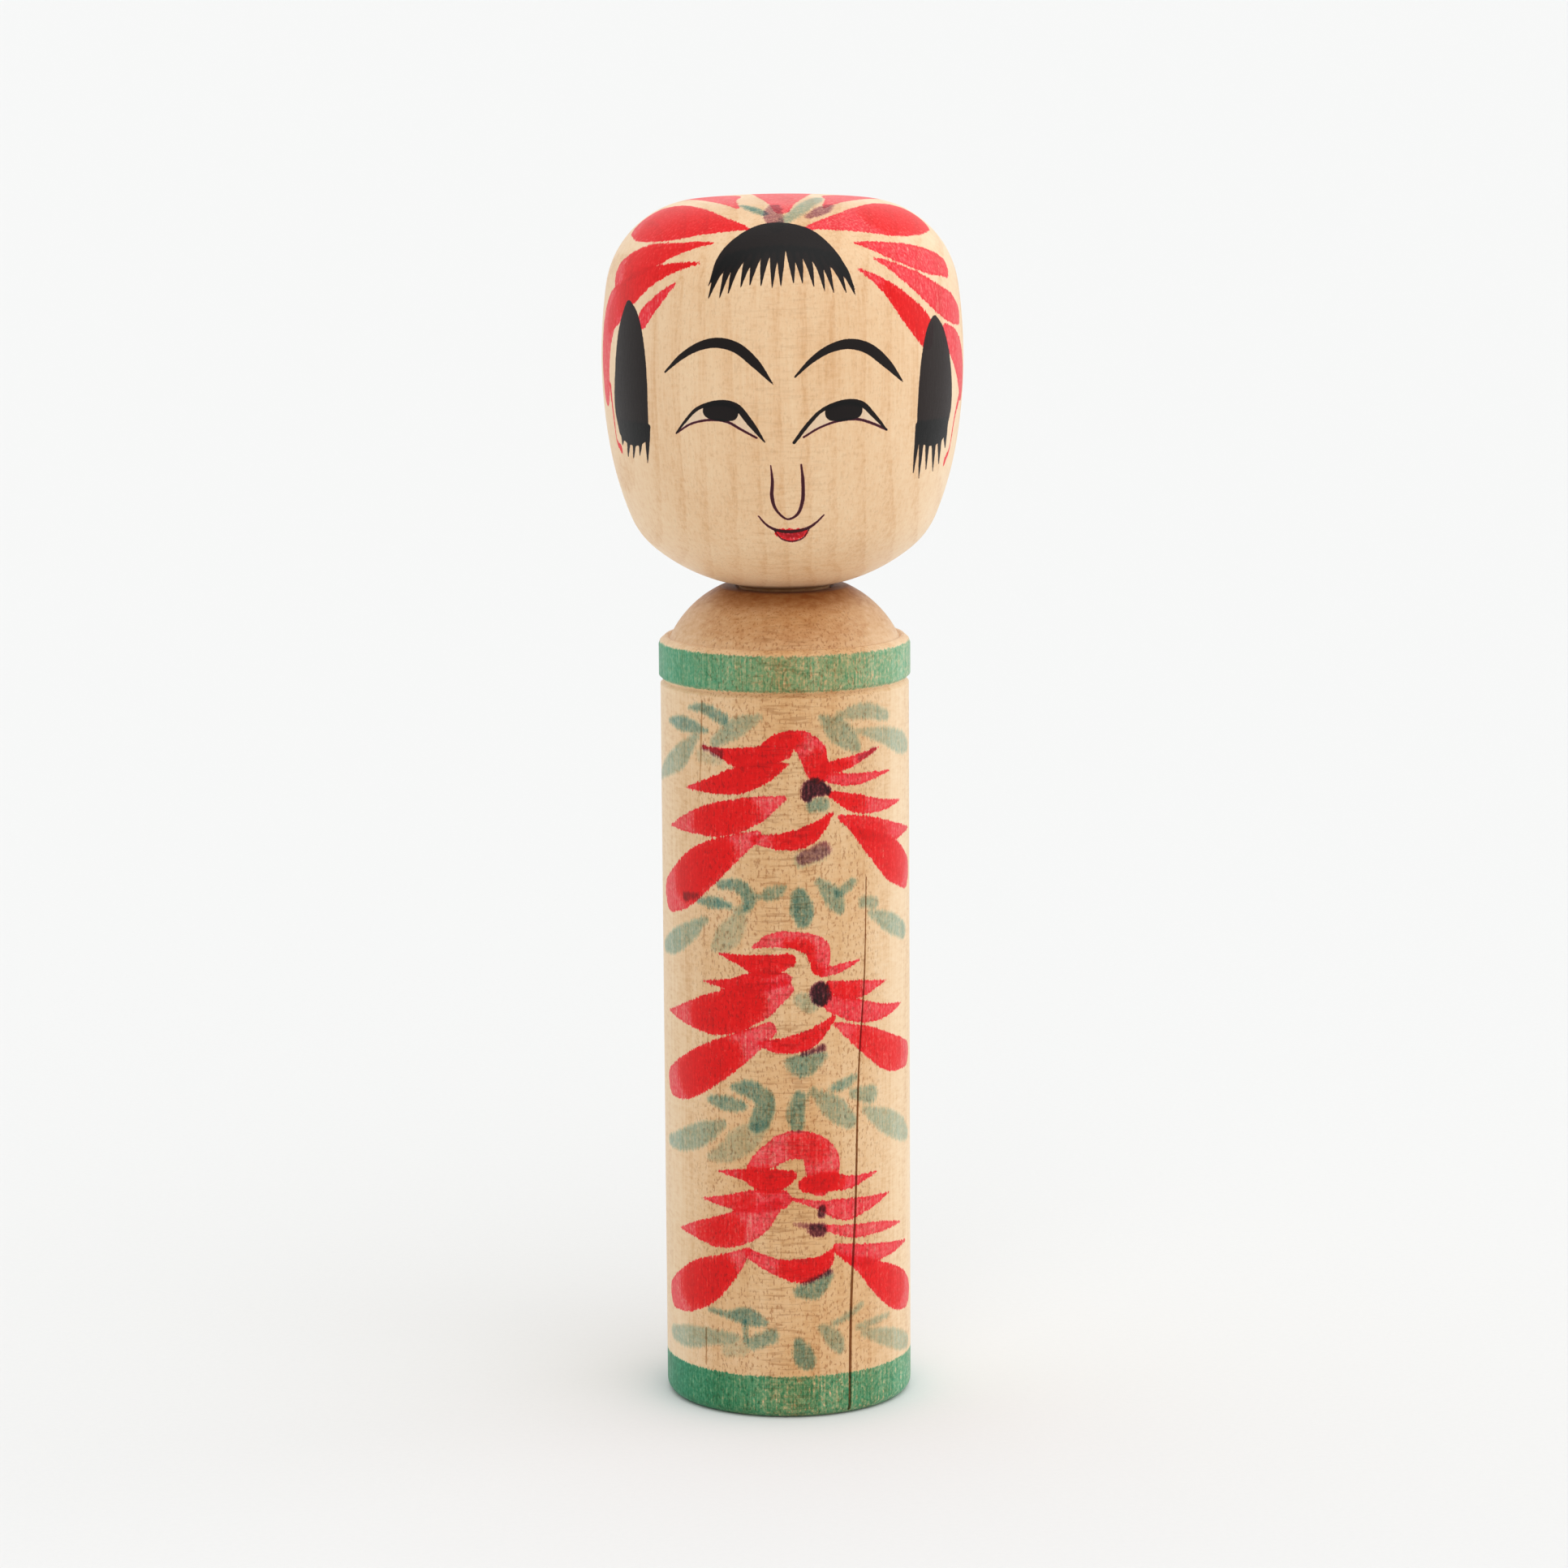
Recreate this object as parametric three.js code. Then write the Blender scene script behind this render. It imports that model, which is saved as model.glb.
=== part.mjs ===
// A turned wooden kokeshi doll in two pieces: a body, and a head whose flared tenon
// is snapped into an undercut socket in the body, where it turns all the way round.
//
// Millimetres, +Z up. The origin is the middle of the underside, and the doll faces -Y.
// Both pieces are solids of revolution about the Z axis. A profile is a list of
// (radius, height) points that starts and ends on the axis and runs upwards outside.

import * as THREE from 'three';

// ---- Driving dimensions -------------------------------------------------------------

const TOTAL_HEIGHT = 240;
const LATHE_SEGMENTS = 48;
const ARC_STEP_DEGREES = 6;

// Body: a plain cylinder, then a raised ring, then a domed shoulder.
const BODY_RADIUS = 24.6;
const FOOT_EDGE_RADIUS = 2.2;
const RING_RADIUS = 24.9;
const RING_BOTTOM = 145.4;
const RING_TOP = 152.4;
const RING_EDGE = 0.5;
const GROOVE_DEPTH = 0.7;
const GROOVE_HEIGHT = 1.3;
const LIP_HEIGHT = 153.5;
const LIP_RADIUS = 23.7;
const DOME_RADIUS = 20.8;
const DOME_CENTRE = { radius: 3.8, height: 144.4 };
const DOME_FOOT = 153.1;
const SEAT_HEIGHT = 163.2;

// Neck: the tenon is wider at its bulge than the socket's mouth, so the head stays on.
const SEAT_GAP = 0.3;
const RUNNING_GAP = 0.3;
const TENON_NECK_RADIUS = 9;
const TENON_BULGE_RADIUS = 9.7;
const TENON_TIP_RADIUS = 7.6;
const TENON_LENGTH = 14;
const NECK_DEPTH = 4;
const BULGE_DEPTH = 6.5;
const TIP_CHAMFER = 1;
const SOCKET_CLEARANCE_BELOW = 2;
const MOUTH_CHAMFER = 0.5;

// Head: six arcs that run on from one another without a corner, from the middle of the
// crown down to the neck. Each is a radius and the angle that the outline turns along it.
const HEAD_ARCS = [
  { part: 'crown', radius: 180, turn: 5.5 },
  { part: 'shoulder of the crown', radius: 19.2, turn: 76.3 },
  { part: 'temple', radius: 101, turn: 18 },
  { part: 'cheek', radius: 66, turn: 12.4 },
  { part: 'jaw', radius: 15.8, turn: 28 },
  { part: 'underside', radius: 34.8, turn: 29 },
];

const HEAD_COLOUR = 0xecc798;
const BODY_COLOUR = 0xe0b98f;
const WOOD_ROUGHNESS = 0.5;

// ---- Profiles -----------------------------------------------------------------------

const point = (radius, height) => new THREE.Vector2(radius, height);

// Points along an arc of the given centre and radius. Angles are in degrees from the
// outward direction, positive upwards.
function arcPoints(centre, radius, from, to) {
  const steps = Math.max(2, Math.ceil(Math.abs(to - from) / ARC_STEP_DEGREES));
  const points = [];
  for (let step = 0; step <= steps; step += 1) {
    const angle = THREE.MathUtils.degToRad(from + ((to - from) * step) / steps);
    points.push(point(
      centre.radius + radius * Math.cos(angle),
      centre.height + radius * Math.sin(angle),
    ));
  }
  return points;
}

// The head's outline from the middle of the crown downwards.
function headOutline() {
  let radial = 0;
  let height = TOTAL_HEIGHT;
  let heading = 90;
  const points = [point(radial, height)];
  for (const arc of HEAD_ARCS) {
    const start = THREE.MathUtils.degToRad(heading);
    const centre = {
      radius: radial - arc.radius * Math.cos(start),
      height: height - arc.radius * Math.sin(start),
    };
    const along = arcPoints(centre, arc.radius, heading, heading - arc.turn);
    points.push(...along.slice(1));
    heading -= arc.turn;
    radial = along.at(-1).x;
    height = along.at(-1).y;
  }
  return points;
}

// The tenon from its tip up to the seat under the head.
function tenonOutline(seat) {
  const tip = seat - TENON_LENGTH;
  return [
    point(0, tip),
    point(TENON_TIP_RADIUS - TIP_CHAMFER, tip),
    point(TENON_TIP_RADIUS, tip + TIP_CHAMFER),
    point(TENON_BULGE_RADIUS, seat - BULGE_DEPTH - 1),
    point(TENON_BULGE_RADIUS, seat - BULGE_DEPTH + 1),
    point(TENON_NECK_RADIUS, seat - NECK_DEPTH),
    point(TENON_NECK_RADIUS, seat),
  ];
}

function headProfile() {
  return [...tenonOutline(SEAT_HEIGHT + SEAT_GAP), ...headOutline().reverse()];
}

// The cylinder from the middle of the underside up to the groove under the ring.
function cylinderOutline() {
  const edge = { radius: BODY_RADIUS - FOOT_EDGE_RADIUS, height: FOOT_EDGE_RADIUS };
  const grooveFloor = RING_BOTTOM - GROOVE_HEIGHT / 2;
  return [
    point(0, 0),
    ...arcPoints(edge, FOOT_EDGE_RADIUS, -90, 0),
    point(BODY_RADIUS, RING_BOTTOM - GROOVE_HEIGHT),
    point(BODY_RADIUS - GROOVE_DEPTH, grooveFloor),
  ];
}

// The raised ring and the thin lip at its top, in to the foot of the dome.
function ringOutline(domeFootRadius) {
  return [
    point(RING_RADIUS - RING_EDGE, RING_BOTTOM),
    point(RING_RADIUS, RING_BOTTOM + RING_EDGE),
    point(RING_RADIUS, RING_TOP - RING_EDGE),
    point(RING_RADIUS - RING_EDGE / 2, RING_TOP + RING_EDGE / 2),
    point(LIP_RADIUS, LIP_HEIGHT),
    point(domeFootRadius + RING_EDGE, LIP_HEIGHT),
  ];
}

// Where the dome's arc reaches a height, as an angle in degrees.
function domeAngle(height) {
  return THREE.MathUtils.radToDeg(Math.asin((height - DOME_CENTRE.height) / DOME_RADIUS));
}

function domeOutline() {
  return arcPoints(DOME_CENTRE, DOME_RADIUS, domeAngle(DOME_FOOT), domeAngle(SEAT_HEIGHT));
}

// The socket from its mouth in the seat down to its floor: the tenon's shape, opened out.
function socketOutline() {
  const mouth = TENON_NECK_RADIUS + RUNNING_GAP;
  const cavity = TENON_BULGE_RADIUS + RUNNING_GAP;
  const floor = SEAT_HEIGHT - TENON_LENGTH - SOCKET_CLEARANCE_BELOW;
  return [
    point(mouth + MOUTH_CHAMFER, SEAT_HEIGHT),
    point(mouth, SEAT_HEIGHT - MOUTH_CHAMFER),
    point(mouth, SEAT_HEIGHT - NECK_DEPTH + 1),
    point(cavity, SEAT_HEIGHT - BULGE_DEPTH + 2),
    point(cavity, floor),
    point(0, floor),
  ];
}

function bodyProfile() {
  const dome = domeOutline();
  return [...cylinderOutline(), ...ringOutline(dome[0].x), ...dome, ...socketOutline()];
}

// ---- The two turned pieces ----------------------------------------------------------

function turnedPiece(name, profile, colour) {
  const geometry = new THREE.LatheGeometry(profile, LATHE_SEGMENTS);
  const material = new THREE.MeshStandardMaterial({
    color: colour,
    roughness: WOOD_ROUGHNESS,
    metalness: 0,
  });
  const mesh = new THREE.Mesh(geometry, material);
  mesh.name = name;
  return mesh;
}

const doll = new THREE.Group();
doll.add(turnedPiece('body', bodyProfile(), BODY_COLOUR));
doll.add(turnedPiece('head', headProfile(), HEAD_COLOUR));

// A lathe geometry turns about Y, so the group is stood up to turn about Z.
doll.rotation.x = Math.PI / 2;

export default doll;
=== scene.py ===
import math

import bmesh
import bpy
import numpy as np
from mathutils import Matrix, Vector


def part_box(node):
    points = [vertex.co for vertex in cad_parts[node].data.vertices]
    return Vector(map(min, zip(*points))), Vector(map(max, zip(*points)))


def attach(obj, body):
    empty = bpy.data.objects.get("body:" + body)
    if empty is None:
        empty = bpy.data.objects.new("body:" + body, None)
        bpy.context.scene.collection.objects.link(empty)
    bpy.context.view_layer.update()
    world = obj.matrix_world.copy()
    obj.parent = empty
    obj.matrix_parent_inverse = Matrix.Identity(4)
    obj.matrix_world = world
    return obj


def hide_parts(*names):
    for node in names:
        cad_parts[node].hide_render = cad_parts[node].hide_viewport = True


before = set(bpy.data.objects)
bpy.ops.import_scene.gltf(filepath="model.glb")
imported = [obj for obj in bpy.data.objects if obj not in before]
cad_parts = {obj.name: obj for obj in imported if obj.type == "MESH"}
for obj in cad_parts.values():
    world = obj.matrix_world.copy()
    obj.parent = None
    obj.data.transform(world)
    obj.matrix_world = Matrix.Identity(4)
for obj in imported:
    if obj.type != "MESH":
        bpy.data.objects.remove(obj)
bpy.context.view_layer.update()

# A kokeshi doll: a body and a head turned from pale wood, painted with red and green dye
# and black ink, then waxed. Sizes are millimetres until a mesh is made. The doll faces -Y,
# and "turn" is an angle round the doll from its front, positive towards +X.

MM = 0.001

# ---- Turned outlines ---------------------------------------------------------------------

FINE_STEP = 0.65
COARSE_STEP = 2.5
CORNER_SOFTNESS = 0.12

BODY_RADIUS = 24.6
FOOT_ROUNDING = 2.2
RING_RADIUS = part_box("body")[1].x / MM
RING_BOTTOM = 145.4
RING_TOP = 152.4
RING_EDGE = 0.5
GROOVE_DEPTH = 0.7
GROOVE_HEIGHT = 1.3
LIP_HEIGHT = 153.5
LIP_RADIUS = 23.7
DOME_CENTRE = (3.8, 144.4)
DOME_RADIUS = 20.8
DOME_FOOT = 153.1
SEAT_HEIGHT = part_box("body")[1].z / MM
SEAT_GAP = 0.3
SOCKET_MOUTH = 9.3
SOCKET_RADIUS = 10
SOCKET_DEPTH = 16
TENON_LENGTH = 14
CRACK_DEPTH = 0.3
CRACK_EDGE = 0.15
OPEN_CRACK_LOAD = 0.9

# Radius and turning angle of each arc of the head, from the middle of the crown downwards.
HEAD_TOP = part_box("head")[1].z / MM
HEAD_ARCS = [(180, 5.5), (19.2, 76.3), (101, 18), (66, 12.4), (15.8, 28), (34.8, 29)]


class Outline:
    """The line that a turning tool follows: (radius, height) points, in order."""

    def __init__(self, radius, height):
        self.points = [(radius, height)]

    def cut_to(self, radius, height, step=COARSE_STEP):
        """A straight cut, with a point just inside each end so that corners stay crisp."""
        start = np.array(self.points[-1])
        end = np.array((radius, height), float)
        length = np.linalg.norm(end - start)
        inner = min(CORNER_SOFTNESS, length / 3) / length
        places = np.linspace(inner, 1 - inner, max(1, round(length / step)) + 1)
        self.points += [tuple(start + (end - start) * place) for place in places]
        self.points.append((radius, height))

    def sweep(self, centre, radius, first, last, step=FINE_STEP):
        """An arc round a centre. Angles are in degrees above the outward direction."""
        count = max(3, round(abs(math.radians(last - first)) * radius / step))
        for angle in np.radians(np.linspace(first, last, count + 1))[1:]:
            self.points.append((
                centre[0] + radius * math.cos(angle),
                centre[1] + radius * math.sin(angle),
            ))


def body_outline():
    """From the middle of the underside, up the outside, and down into the socket."""
    line = Outline(0, 0)
    line.cut_to(BODY_RADIUS - FOOT_ROUNDING, 0)
    foot = (BODY_RADIUS - FOOT_ROUNDING, FOOT_ROUNDING)
    line.sweep(foot, FOOT_ROUNDING, -90, 0, step=0.5)
    line.cut_to(BODY_RADIUS, RING_BOTTOM - GROOVE_HEIGHT, FINE_STEP)
    line.cut_to(BODY_RADIUS - GROOVE_DEPTH, RING_BOTTOM - GROOVE_HEIGHT / 2, FINE_STEP)
    line.cut_to(RING_RADIUS - RING_EDGE, RING_BOTTOM, FINE_STEP)
    line.cut_to(RING_RADIUS, RING_BOTTOM + RING_EDGE, FINE_STEP)
    line.cut_to(RING_RADIUS, RING_TOP - RING_EDGE, FINE_STEP)
    line.cut_to(RING_RADIUS - RING_EDGE / 2, RING_TOP + RING_EDGE / 2, FINE_STEP)
    line.cut_to(LIP_RADIUS, LIP_HEIGHT, FINE_STEP)
    foot_angle, seat_angle = (
        math.degrees(math.asin((height - DOME_CENTRE[1]) / DOME_RADIUS))
        for height in (DOME_FOOT, SEAT_HEIGHT)
    )
    dome_foot_radius = DOME_CENTRE[0] + DOME_RADIUS * math.cos(math.radians(foot_angle))
    line.cut_to(dome_foot_radius + RING_EDGE, LIP_HEIGHT, FINE_STEP)
    line.cut_to(dome_foot_radius, DOME_FOOT, FINE_STEP)
    line.sweep(DOME_CENTRE, DOME_RADIUS, foot_angle, seat_angle)
    line.cut_to(SOCKET_MOUTH + 0.5, SEAT_HEIGHT)
    line.cut_to(SOCKET_MOUTH, SEAT_HEIGHT - 0.5)
    line.cut_to(SOCKET_MOUTH, SEAT_HEIGHT - 3)
    line.cut_to(SOCKET_RADIUS, SEAT_HEIGHT - 4.5)
    line.cut_to(SOCKET_RADIUS, SEAT_HEIGHT - SOCKET_DEPTH)
    line.cut_to(0, SEAT_HEIGHT - SOCKET_DEPTH)
    return line.points


def head_outline():
    """From the tip of the tenon, out under the chin, and up to the middle of the crown."""
    seat = SEAT_HEIGHT + SEAT_GAP
    crown = Outline(0, HEAD_TOP)
    heading = 90
    for radius, turn in HEAD_ARCS:
        start = math.radians(heading)
        centre = (
            crown.points[-1][0] - radius * math.cos(start),
            crown.points[-1][1] - radius * math.sin(start),
        )
        crown.sweep(centre, radius, heading, heading - turn)
        heading -= turn
    tenon = Outline(0, seat - TENON_LENGTH)
    for radius, drop in ((6.6, TENON_LENGTH), (7.6, 13), (9.7, 7.5), (9.7, 5.5), (9, 4), (9, 0)):
        tenon.cut_to(radius, seat - drop)
    return tenon.points + crown.points[::-1]


# ---- Brushwork ---------------------------------------------------------------------------
# Every painted mark is a filled patch or a line drawn on a flat chart of the surface, in
# millimetres: "wall" is the body unrolled, (distance round from the front, height); "face"
# is the head seen from the front, (sideways, height); "crown" is the head unrolled from
# the middle of its crown, (towards +X, towards the front), good out to CROWN_REACH. Past
# OUTSIDE_REACH from the middle of the crown, the surface is the head's seat and tenon.

FADE_REACH = 2.5
OVERLAP_SOFTNESS = 0.12
CROWN_REACH = 90
OUTSIDE_REACH = 125


def rounded_line(points, cuts=6):
    """A smooth line through the given points, without the swings of uneven spacing."""
    given = np.array(points, float)
    held = np.vstack([2 * given[0] - given[1], given, 2 * given[-1] - given[-2]])
    spans = []
    for a, b, c, d in zip(held, held[1:], held[2:], held[3:]):
        knot = np.cumsum([0] + [max(np.linalg.norm(q - p), 1e-6) ** 0.5
                                for p, q in ((a, b), (b, c), (c, d))])
        t = np.linspace(knot[1], knot[2], cuts, endpoint=False)[:, None]

        def between(p, q, low, high):
            return ((high - t) * p + (t - low) * q) / (high - low)

        first = between(a, b, knot[0], knot[1])
        second = between(b, c, knot[1], knot[2])
        third = between(c, d, knot[2], knot[3])
        inner = between(first, second, knot[0], knot[2])
        outer = between(second, third, knot[1], knot[3])
        spans.append(between(inner, outer, knot[1], knot[2]))
    return np.vstack(spans + [given[-1:]])


def patch(dye, load, *edges):
    """A filled shape on the face. It has a corner where one edge hands over to the next."""
    outline = np.vstack([rounded_line(edge) for edge in edges])
    return {"dye": dye, "load": load, "chart": "face", "line": outline, "widths": None}


def stroke(dye, load, points, widths, chart="face", part=(0, 1)):
    """A brush line through points, each with its half width, or the given part of one."""
    line = rounded_line([(*point, width) for point, width in zip(points, widths)])
    first, last = (round(share * (len(line) - 1)) for share in part)
    line = line[first:last + 1]
    return {"dye": dye, "load": load, "chart": chart, "line": line[:, :2],
            "widths": line[:, 2]}


def on_crown(*places):
    """Chart points for (turn in degrees, distance from the middle of the crown)."""
    return [(reach * math.sin(math.radians(turn)), reach * math.cos(math.radians(turn)))
            for turn, reach in places]


def depth_in(mark, points):
    """How deep each chart point lies inside a mark: below zero outside it."""
    line = mark["line"]
    filled = mark["widths"] is None
    ends = np.roll(line, -1, axis=0) if filled else line[1:]
    starts = line if filled else line[:-1]
    side = ends - starts
    gap = points[:, None, :] - starts[None]
    reach = np.maximum((side ** 2).sum(axis=1), 1e-9)
    along = np.clip((gap * side).sum(axis=2) / reach, 0, 1)
    away = np.linalg.norm(gap - along[..., None] * side, axis=2)
    if not filled:
        widths = mark["widths"][:-1] * (1 - along) + mark["widths"][1:] * along
        return (widths - away).max(axis=1)
    x, y = points[:, 0:1], points[:, 1:2]
    straddles = (starts[:, 1] > y) != (ends[:, 1] > y)
    rise = np.where(np.abs(side[:, 1]) < 1e-9, 1e-9, side[:, 1])
    crossed = straddles & (x < starts[:, 0] + side[:, 0] * (y - starts[:, 1]) / rise)
    inside = crossed.sum(axis=1) % 2 == 1
    return np.where(inside, away.min(axis=1), -away.min(axis=1))


def lay_marks(marks, charts):
    """Depth and load of every dye at each vertex, and the distance to the nearest mark's edge."""
    count = len(charts[marks[0]["chart"]][1])
    edge_distance = np.full(count, FADE_REACH)
    layers = {}
    for mark in marks:
        depth, load, weight = layers.setdefault(mark["dye"], (
            np.full(count, -FADE_REACH), np.zeros(count), np.full(count, 1e-12)))
        points, valid = charts[mark["chart"]]
        margin = FADE_REACH + (0 if mark["widths"] is None else mark["widths"].max())
        low = mark["line"].min(axis=0) - margin
        high = mark["line"].max(axis=0) + margin
        near = valid & (points > low).all(axis=1) & (points < high).all(axis=1)
        found = depth_in(mark, points[near])
        depth[near] = np.maximum(depth[near], found)
        edge_distance[near] = np.minimum(edge_distance[near], np.abs(found))
        share = 1 / (1 + np.exp(np.clip(-found / OVERLAP_SOFTNESS, -25, 25)))
        load[near] += mark["load"] * share
        weight[near] = np.maximum(weight[near], share)
    return {dye: (depth, load / weight) for dye, (depth, load, weight) in layers.items()}, \
        edge_distance


def petal(points, widths, load=0.45, deep=(), chart="wall"):
    """A petal pulled from root to tip, and the parts of it where the dye ran deep."""
    marks = [stroke("wash", load, points, widths, chart)]
    for first, last, extra in deep:
        marks.append(stroke("wet", extra, points, [0.9 * width for width in widths], chart,
                            part=(first, last)))
    return marks


def leaf(load, points, widths):
    return stroke("leaf", load, points, widths, chart="wall")


# Each flower: an arched cap, petals pulled out to both sides, a drop at each lower side, a
# cup under the heart, the heart itself, and a shade under the cup.
TOP_FLOWER = [
    *petal([(-4.4, 135.2), (-1.2, 136.2), (2.8, 136), (5.4, 133.4), (6.2, 129.6)],
           [0.3, 1.2, 2, 2.7, 2.1], 0.48, deep=[(0.06, 0.42, 0.8), (0.86, 1, 0.6)]),
    *petal([(0, 133.7), (-4.8, 132.8), (-9.5, 132.4), (-13.5, 133.4), (-17.6, 134.1)],
           [1.3, 2.2, 1.9, 0.8, 0.1], 0.6, deep=[(0, 0.62, 0.9)]),
    *petal([(0.4, 131.4), (-4.2, 129.8), (-9.5, 128), (-15, 126.7), (-22.3, 125.5)],
           [0.3, 2, 2.6, 1.6, 0.1], 0.55, deep=[(0.02, 0.84, 0.9)]),
    *petal([(-0.6, 124.6), (-6, 122.3), (-13, 120.2), (-20, 118.9), (-28.3, 117.1)],
           [0.7, 2.6, 3.4, 2.3, 0.1], 0.42, deep=[(0.34, 0.68, 0.8)]),
    *petal([(-5.8, 117.3), (-12, 113.9), (-18.5, 109.8), (-24, 105.7), (-28.6, 103.4)],
           [1, 2.9, 4.4, 4.5, 3.7], 0.42, deep=[(0.3, 0.66, 0.95)]),
    *petal([(-6.2, 116.6), (-1, 116.2), (4.2, 117.2), (9.3, 121.4)],
           [0.8, 1.6, 1.9, 0.3], 0.48, deep=[(0.35, 0.97, 0.7)]),
    *petal([(7.8, 130.4), (13, 131.2), (20.6, 133.5)], [1.1, 1.1, 0.1], 0.5,
           deep=[(0, 0.45, 0.7)]),
    *petal([(7.6, 128.7), (13.5, 127.8), (24, 128.4)], [0.9, 1.2, 0.1], 0.5),
    *petal([(9.2, 125.2), (14.5, 123), (21, 121.9), (28.5, 121.9)], [0.7, 1.8, 1.2, 0.1], 0.48,
           deep=[(0, 0.4, 0.5)]),
    *petal([(10.8, 120.6), (17, 117.9), (24.5, 116.2), (34, 115.4)], [0.5, 2.3, 1.9, 0.1], 0.5,
           deep=[(0.1, 0.55, 0.35)]),
    *petal([(13.6, 118), (20, 113.8), (26, 109.8), (31.2, 107)], [0.5, 2.8, 4, 3.3], 0.48,
           deep=[(0.1, 0.78, 0.5)]),
    stroke("plum", 1.3, [(4.1, 125), (5.4, 126.8), (8.2, 126)], [1, 1.8, 0.8], chart="wall"),
    stroke("plum", 0.4, [(-17.4, 134), (-13.2, 133)], [0.4, 0.9], chart="wall"),
    stroke("plum", 0.3, [(19.8, 133.3), (15.6, 131.8)], [0.3, 0.6], chart="wall"),
    stroke("plum", 0.4, [(-23, 103.6), (-19.4, 104.4)], [0.9, 0.5], chart="wall"),
    leaf(0.8, [(5.2, 123.3), (7.2, 123.3)], [1.3, 1.4]),
    stroke("plum", 0.35, [(3.6, 112.9), (7.4, 114.4)], [1.3, 1.5], chart="wall"),
    leaf(0.3, [(3, 112.4), (7.2, 113.8)], [1.5, 1.4]),
]

MIDDLE_FLOWER = [
    *petal([(-6.6, 95.2), (-2.5, 96.7), (2.8, 96.4), (6.2, 94.6), (6.6, 91.4)],
           [0.3, 1.4, 1.8, 2.3, 1.9], 0.42),
    stroke("wet", 0.9, [(0.5, 95.7), (4, 95), (3.6, 92.3), (5, 90.3)], [0.4, 1, 1.2, 1.4],
           chart="wall"),
    *petal([(0.3, 92.6), (-4.5, 91.4), (-9, 92.4), (-14.1, 93.4)], [1.4, 2.2, 1.1, 0.1], 0.55,
           deep=[(0, 0.75, 0.6)]),
    *petal([(-0.2, 89), (-6, 88.2), (-11, 87.5), (-17.8, 87.4)], [1.2, 2, 1.2, 0.1], 0.55,
           deep=[(0.35, 0.85, 0.5)]),
    *petal([(-0.5, 87), (-7, 83.9), (-14, 81.4), (-20.5, 80.4), (-30.2, 79.5)],
           [1.8, 4, 4.3, 2.8, 0.1], 0.42, deep=[(0.3, 0.66, 0.95)]),
    *petal([(-3.6, 78.8), (-10, 74.6), (-17.6, 70.2), (-24, 66.8), (-28.3, 65.5)],
           [1.5, 3.1, 4.2, 4.1, 3.1], 0.42, deep=[(0.32, 0.68, 0.95)]),
    *petal([(-5.4, 75.9), (-1, 75.6), (4, 76.6), (9.4, 80.8)], [0.6, 1.5, 1.9, 0.4], 0.5,
           deep=[(0.3, 0.95, 0.5)]),
    *petal([(7.3, 90), (11, 90.6), (15.2, 91.8)], [0.9, 0.8, 0.1], 0.5),
    *petal([(8.6, 87), (14, 86), (22.5, 86.6)], [1.2, 1.8, 0.1], 0.5, deep=[(0, 0.5, 0.4)]),
    *petal([(9, 83.8), (15, 81.6), (21.5, 80.6), (28.5, 81)], [1.8, 2.2, 1.5, 0.1], 0.5),
    *petal([(10, 79.4), (17, 75.6), (24, 71.8), (31, 70.2)], [0.5, 2.6, 3.6, 2.7], 0.42,
           deep=[(0.3, 0.8, 0.35)]),
    stroke("plum", 1.4, [(6.6, 86.2), (6.8, 85.3)], [1.9, 1.9], chart="wall"),
    leaf(0.45, [(2.8, 84.7), (4.6, 84)], [1.4, 1.9]),
    stroke("plum", 0.6, [(3, 73.9), (7, 75)], [0.4, 0.7], chart="wall"),
    leaf(0.85, [(0.6, 72.4), (3, 71.6), (6.8, 73.4)], [1, 2.3, 0.9]),
]

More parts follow.
